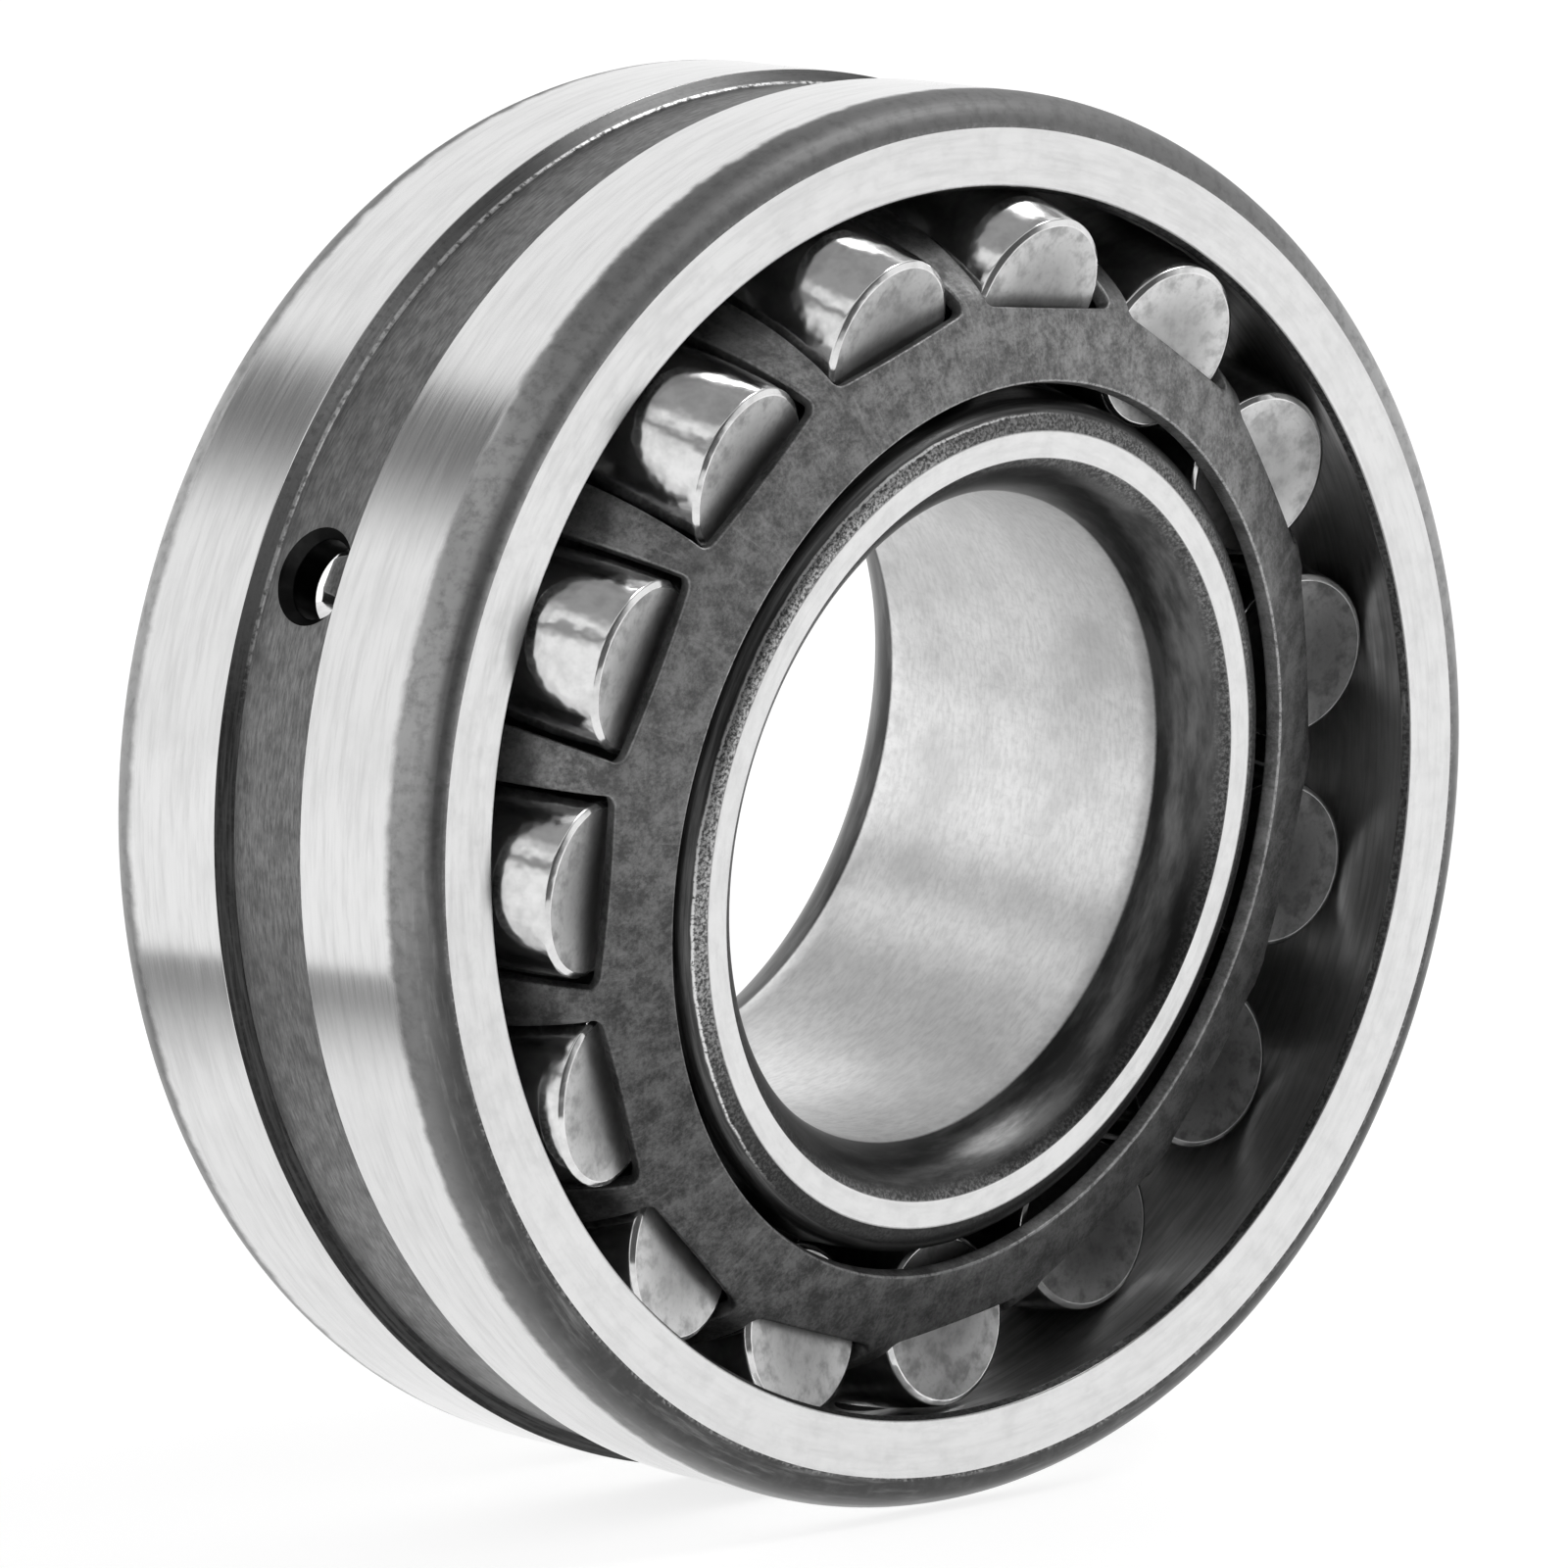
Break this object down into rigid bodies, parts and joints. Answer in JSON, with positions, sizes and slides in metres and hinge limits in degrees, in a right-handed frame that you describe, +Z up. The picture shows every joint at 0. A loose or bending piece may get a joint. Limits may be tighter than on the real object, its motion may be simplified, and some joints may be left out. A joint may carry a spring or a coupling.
{
  "type": "spherical roller bearing",
  "caption": "Spherical roller bearing with barrel rollers in pressed window cages, shown with its inner assembly swivelled in the outer ring.",
  "frame": {"origin": "centre of the spherical raceway, which is the centre of the outer ring and of the whole bearing", "axes": "+Y along the outer ring's axis from its front face to its rear face, +Z up, +X to the right seen from the front"},
  "size_m": [0.15, 0.067, 0.15],
  "materials": {
    "ring_steel": "ground and satin, with dark mottled turned corners and groove",
    "roller_steel": "superfinished, polished",
    "cage_steel": "dark phosphated pressed sheet, worn bright on its edges",
    "guide_steel": "dark machined"
  },
  "bodies": {
    "outer_ring": {"outer_ring": "ring_steel"},
    "inner_ring": {"inner_ring": "ring_steel"},
    "guide_ring": {"guide_ring": "guide_steel"},
    "cage_front": {"cage_front": "cage_steel"},
    "cage_rear": {"cage_rear": "cage_steel"},
    "roller_front_01": {"roller_front_01": "roller_steel"},
    "roller_front_02": {"roller_front_02": "roller_steel"},
    "roller_front_03": {"roller_front_03": "roller_steel"},
    "roller_front_04": {"roller_front_04": "roller_steel"},
    "roller_front_05": {"roller_front_05": "roller_steel"},
    "roller_front_06": {"roller_front_06": "roller_steel"},
    "roller_front_07": {"roller_front_07": "roller_steel"},
    "roller_front_08": {"roller_front_08": "roller_steel"},
    "roller_front_09": {"roller_front_09": "roller_steel"},
    "roller_front_10": {"roller_front_10": "roller_steel"},
    "roller_front_11": {"roller_front_11": "roller_steel"},
    "roller_front_12": {"roller_front_12": "roller_steel"},
    "roller_front_13": {"roller_front_13": "roller_steel"},
    "roller_front_14": {"roller_front_14": "roller_steel"},
    "roller_front_15": {"roller_front_15": "roller_steel"},
    "roller_rear_01": {"roller_rear_01": "roller_steel"},
    "roller_rear_02": {"roller_rear_02": "roller_steel"},
    "roller_rear_03": {"roller_rear_03": "roller_steel"},
    "roller_rear_04": {"roller_rear_04": "roller_steel"},
    "roller_rear_05": {"roller_rear_05": "roller_steel"},
    "roller_rear_06": {"roller_rear_06": "roller_steel"},
    "roller_rear_07": {"roller_rear_07": "roller_steel"},
    "roller_rear_08": {"roller_rear_08": "roller_steel"},
    "roller_rear_09": {"roller_rear_09": "roller_steel"},
    "roller_rear_10": {"roller_rear_10": "roller_steel"},
    "roller_rear_11": {"roller_rear_11": "roller_steel"},
    "roller_rear_12": {"roller_rear_12": "roller_steel"},
    "roller_rear_13": {"roller_rear_13": "roller_steel"},
    "roller_rear_14": {"roller_rear_14": "roller_steel"},
    "roller_rear_15": {"roller_rear_15": "roller_steel"}
  },
  "joints": [
    {"name": "swivel", "type": "hinge", "parent": "outer_ring", "child": "guide_ring", "pos_m": [0, 0, 0], "axis": [0.7222, 0, 0.6916], "range_deg": [-21.5, 2.5]},
    {"name": "inner_spin", "type": "hinge", "parent": "guide_ring", "child": "inner_ring", "pos_m": [0, 0, 0], "axis": [-0.1146, 0.9862, 0.1197], "continuous": true},
    {"name": "cage_front_spin", "type": "hinge", "parent": "guide_ring", "child": "cage_front", "pos_m": [0, 0, 0], "axis": [-0.1146, 0.9862, 0.1197], "continuous": true},
    {"name": "roller_front_01_spin", "type": "hinge", "parent": "cage_front", "child": "roller_front_01", "pos_m": [0.05762, -0.00748, 0.01078], "axis": [0.097, 0.9819, 0.1627], "continuous": true},
    {"name": "roller_front_02_spin", "type": "hinge", "parent": "cage_front", "child": "roller_front_02", "pos_m": [0.04808, -0.01122, 0.03249], "axis": [0.0615, 0.968, 0.2434], "continuous": true},
    {"name": "roller_front_03_spin", "type": "hinge", "parent": "cage_front", "child": "roller_front_03", "pos_m": [0.03047, -0.01519, 0.04831], "axis": [-0.004, 0.9532, 0.3023], "continuous": true},
    {"name": "roller_front_04_spin", "type": "hinge", "parent": "cage_front", "child": "roller_front_04", "pos_m": [0.00784, -0.01869, 0.05551], "axis": [-0.0882, 0.9402, 0.3291], "continuous": true},
    {"name": "roller_front_05_spin", "type": "hinge", "parent": "cage_front", "child": "roller_front_05", "pos_m": [-0.01588, -0.02113, 0.05286], "axis": [-0.1765, 0.9311, 0.3192], "continuous": true},
    {"name": "roller_front_06_spin", "type": "hinge", "parent": "cage_front", "child": "roller_front_06", "pos_m": [-0.03662, -0.02208, 0.0408], "axis": [-0.2536, 0.9276, 0.2743], "continuous": true},
    {"name": "roller_front_07_spin", "type": "hinge", "parent": "cage_front", "child": "roller_front_07", "pos_m": [-0.05076, -0.02137, 0.02142], "axis": [-0.3062, 0.9302, 0.2023], "continuous": true},
    {"name": "roller_front_08_spin", "type": "hinge", "parent": "cage_front", "child": "roller_front_08", "pos_m": [-0.05588, -0.01913, -0.00192], "axis": [-0.3253, 0.9386, 0.1154], "continuous": true},
    {"name": "roller_front_09_spin", "type": "hinge", "parent": "cage_front", "child": "roller_front_09", "pos_m": [-0.05109, -0.01575, -0.02519], "axis": [-0.3074, 0.9511, 0.0288], "continuous": true},
    {"name": "roller_front_10_spin", "type": "hinge", "parent": "cage_front", "child": "roller_front_10", "pos_m": [-0.03721, -0.01181, -0.04437], "axis": [-0.2558, 0.9658, -0.0425], "continuous": true},
    {"name": "roller_front_11_spin", "type": "hinge", "parent": "cage_front", "child": "roller_front_11", "pos_m": [-0.01664, -0.00799, -0.05614], "axis": [-0.1793, 0.98, -0.0863], "continuous": true},
    {"name": "roller_front_12_spin", "type": "hinge", "parent": "cage_front", "child": "roller_front_12", "pos_m": [0.00705, -0.00495, -0.05847], "axis": [-0.0911, 0.9913, -0.095], "continuous": true},
    {"name": "roller_front_13_spin", "type": "hinge", "parent": "cage_front", "child": "roller_front_13", "pos_m": [0.02978, -0.00322, -0.05095], "axis": [-0.0066, 0.9977, -0.067], "continuous": true},
    {"name": "roller_front_14_spin", "type": "hinge", "parent": "cage_front", "child": "roller_front_14", "pos_m": [0.04761, -0.0031, -0.03488], "axis": [0.0597, 0.9982, -0.0072], "continuous": true},
    {"name": "roller_front_15_spin", "type": "hinge", "parent": "cage_front", "child": "roller_front_15", "pos_m": [0.05746, -0.00461, -0.01304], "axis": [0.0964, 0.9926, 0.074], "continuous": true},
    {"name": "cage_rear_spin", "type": "hinge", "parent": "guide_ring", "child": "cage_rear", "pos_m": [0, 0, 0], "axis": [-0.1146, 0.9862, 0.1197], "continuous": true},
    {"name": "roller_rear_01_spin", "type": "hinge", "parent": "cage_rear", "child": "roller_rear_01", "pos_m": [0.05588, 0.01913, 0.00192], "axis": [-0.3253, 0.9386, 0.1154], "continuous": true},
    {"name": "roller_rear_02_spin", "type": "hinge", "parent": "cage_rear", "child": "roller_rear_02", "pos_m": [0.05076, 0.02137, -0.02142], "axis": [-0.3062, 0.9302, 0.2023], "continuous": true},
    {"name": "roller_rear_03_spin", "type": "hinge", "parent": "cage_rear", "child": "roller_rear_03", "pos_m": [0.03662, 0.02208, -0.0408], "axis": [-0.2536, 0.9276, 0.2743], "continuous": true},
    {"name": "roller_rear_04_spin", "type": "hinge", "parent": "cage_rear", "child": "roller_rear_04", "pos_m": [0.01588, 0.02113, -0.05286], "axis": [-0.1765, 0.9311, 0.3192], "continuous": true},
    {"name": "roller_rear_05_spin", "type": "hinge", "parent": "cage_rear", "child": "roller_rear_05", "pos_m": [-0.00784, 0.01869, -0.05551], "axis": [-0.0882, 0.9402, 0.3291], "continuous": true},
    {"name": "roller_rear_06_spin", "type": "hinge", "parent": "cage_rear", "child": "roller_rear_06", "pos_m": [-0.03047, 0.01519, -0.04831], "axis": [-0.004, 0.9532, 0.3023], "continuous": true},
    {"name": "roller_rear_07_spin", "type": "hinge", "parent": "cage_rear", "child": "roller_rear_07", "pos_m": [-0.04808, 0.01122, -0.03249], "axis": [0.0615, 0.968, 0.2434], "continuous": true},
    {"name": "roller_rear_08_spin", "type": "hinge", "parent": "cage_rear", "child": "roller_rear_08", "pos_m": [-0.05762, 0.00748, -0.01078], "axis": [0.097, 0.9819, 0.1627], "continuous": true},
    {"name": "roller_rear_09_spin", "type": "hinge", "parent": "cage_rear", "child": "roller_rear_09", "pos_m": [-0.05746, 0.00461, 0.01304], "axis": [0.0964, 0.9926, 0.074], "continuous": true},
    {"name": "roller_rear_10_spin", "type": "hinge", "parent": "cage_rear", "child": "roller_rear_10", "pos_m": [-0.04761, 0.0031, 0.03488], "axis": [0.0597, 0.9982, -0.0072], "continuous": true},
    {"name": "roller_rear_11_spin", "type": "hinge", "parent": "cage_rear", "child": "roller_rear_11", "pos_m": [-0.02978, 0.00322, 0.05095], "axis": [-0.0066, 0.9977, -0.067], "continuous": true},
    {"name": "roller_rear_12_spin", "type": "hinge", "parent": "cage_rear", "child": "roller_rear_12", "pos_m": [-0.00705, 0.00495, 0.05847], "axis": [-0.0911, 0.9913, -0.095], "continuous": true},
    {"name": "roller_rear_13_spin", "type": "hinge", "parent": "cage_rear", "child": "roller_rear_13", "pos_m": [0.01664, 0.00799, 0.05614], "axis": [-0.1793, 0.98, -0.0863], "continuous": true},
    {"name": "roller_rear_14_spin", "type": "hinge", "parent": "cage_rear", "child": "roller_rear_14", "pos_m": [0.03721, 0.01181, 0.04437], "axis": [-0.2558, 0.9658, -0.0425], "continuous": true},
    {"name": "roller_rear_15_spin", "type": "hinge", "parent": "cage_rear", "child": "roller_rear_15", "pos_m": [0.05109, 0.01575, 0.02519], "axis": [-0.3074, 0.9511, 0.0288], "continuous": true}
  ],
  "couplings": [
    {"joint": "cage_front_spin", "follows": "inner_spin", "ratio": 0.41709},
    {"joint": "roller_front_01_spin", "follows": "inner_spin", "ratio": -2.864},
    {"joint": "roller_front_02_spin", "follows": "inner_spin", "ratio": -2.864},
    {"joint": "roller_front_03_spin", "follows": "inner_spin", "ratio": -2.864},
    {"joint": "roller_front_04_spin", "follows": "inner_spin", "ratio": -2.864},
    {"joint": "roller_front_05_spin", "follows": "inner_spin", "ratio": -2.864},
    {"joint": "roller_front_06_spin", "follows": "inner_spin", "ratio": -2.864},
    {"joint": "roller_front_07_spin", "follows": "inner_spin", "ratio": -2.864},
    {"joint": "roller_front_08_spin", "follows": "inner_spin", "ratio": -2.864},
    {"joint": "roller_front_09_spin", "follows": "inner_spin", "ratio": -2.864},
    {"joint": "roller_front_10_spin", "follows": "inner_spin", "ratio": -2.864},
    {"joint": "roller_front_11_spin", "follows": "inner_spin", "ratio": -2.864},
    {"joint": "roller_front_12_spin", "follows": "inner_spin", "ratio": -2.864},
    {"joint": "roller_front_13_spin", "follows": "inner_spin", "ratio": -2.864},
    {"joint": "roller_front_14_spin", "follows": "inner_spin", "ratio": -2.864},
    {"joint": "roller_front_15_spin", "follows": "inner_spin", "ratio": -2.864},
    {"joint": "cage_rear_spin", "follows": "inner_spin", "ratio": 0.41709},
    {"joint": "roller_rear_01_spin", "follows": "inner_spin", "ratio": -2.864},
    {"joint": "roller_rear_02_spin", "follows": "inner_spin", "ratio": -2.864},
    {"joint": "roller_rear_03_spin", "follows": "inner_spin", "ratio": -2.864},
    {"joint": "roller_rear_04_spin", "follows": "inner_spin", "ratio": -2.864},
    {"joint": "roller_rear_05_spin", "follows": "inner_spin", "ratio": -2.864},
    {"joint": "roller_rear_06_spin", "follows": "inner_spin", "ratio": -2.864},
    {"joint": "roller_rear_07_spin", "follows": "inner_spin", "ratio": -2.864},
    {"joint": "roller_rear_08_spin", "follows": "inner_spin", "ratio": -2.864},
    {"joint": "roller_rear_09_spin", "follows": "inner_spin", "ratio": -2.864},
    {"joint": "roller_rear_10_spin", "follows": "inner_spin", "ratio": -2.864},
    {"joint": "roller_rear_11_spin", "follows": "inner_spin", "ratio": -2.864},
    {"joint": "roller_rear_12_spin", "follows": "inner_spin", "ratio": -2.864},
    {"joint": "roller_rear_13_spin", "follows": "inner_spin", "ratio": -2.864},
    {"joint": "roller_rear_14_spin", "follows": "inner_spin", "ratio": -2.864},
    {"joint": "roller_rear_15_spin", "follows": "inner_spin", "ratio": -2.864}
  ]
}
